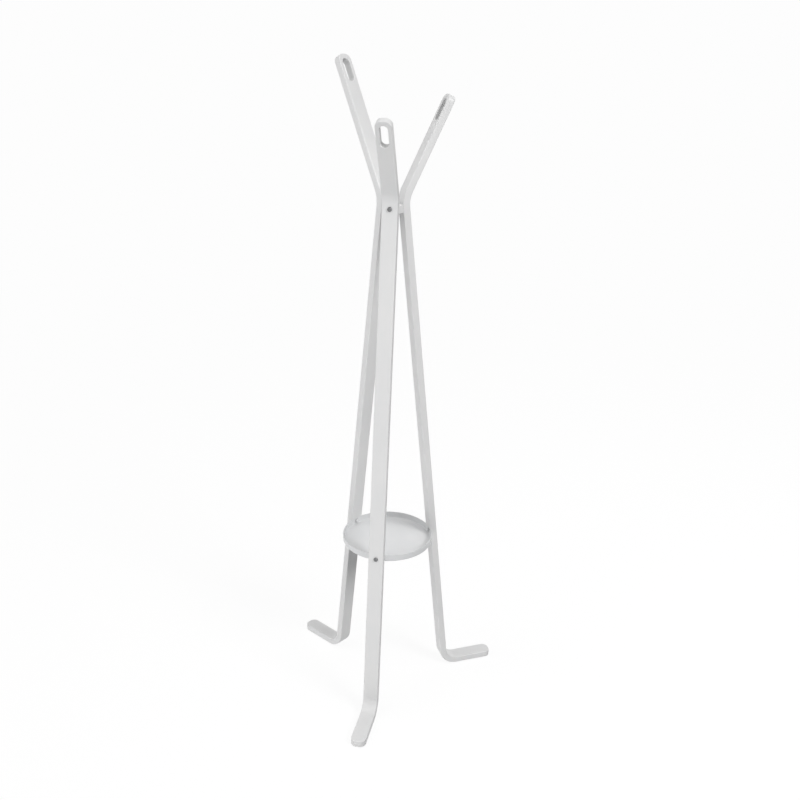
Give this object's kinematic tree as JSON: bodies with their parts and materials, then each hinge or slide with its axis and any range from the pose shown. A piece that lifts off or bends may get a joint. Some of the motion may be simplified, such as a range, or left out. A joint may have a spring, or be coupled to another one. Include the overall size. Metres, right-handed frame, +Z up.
{
  "type": "standing coat rack",
  "caption": "Free-standing coat rack of bent lacquered wooden strips, splayed at top and bottom, bolted round a hub and a shallow round tray, with a slot in each arm.",
  "frame": {"origin": "On the floor, under the middle of the stand's outline seen from above. The stand's own axis is 75.5 mm behind it, towards +Y.", "axes": "+Z up, the way the stand stands. -Y is the front: the front foot and the shortest arm point along -Y. The right strip points 30 degrees behind +X, the left strip 30 degrees behind -X."},
  "size_m": [0.5712, 0.4989, 1.6998],
  "materials": {
    "lacquered_wood": "satin off-white lacquer over bent wood",
    "lacquered_steel": "satin light cool grey lacquer",
    "steel": "bright zinc-plated steel",
    "brass": "plain turned brass",
    "felt": "grey wool felt"
  },
  "bodies": {
    "root": {"hub_block": "lacquered_wood", "tray": "lacquered_steel", "front_strip": "lacquered_wood", "front_hub_screw": "steel", "front_hub_insert": "brass", "front_tray_screw": "steel", "front_tray_nut": "lacquered_steel", "front_toe_glide": "felt", "front_heel_glide": "felt", "right_strip": "lacquered_wood", "right_hub_screw": "steel", "right_hub_insert": "brass", "right_tray_screw": "steel", "right_tray_nut": "lacquered_steel", "right_toe_glide": "felt", "right_heel_glide": "felt", "left_strip": "lacquered_wood", "left_hub_screw": "steel", "left_hub_insert": "brass", "left_tray_screw": "steel", "left_tray_nut": "lacquered_steel", "left_toe_glide": "felt", "left_heel_glide": "felt"}
  },
  "joints": []
}
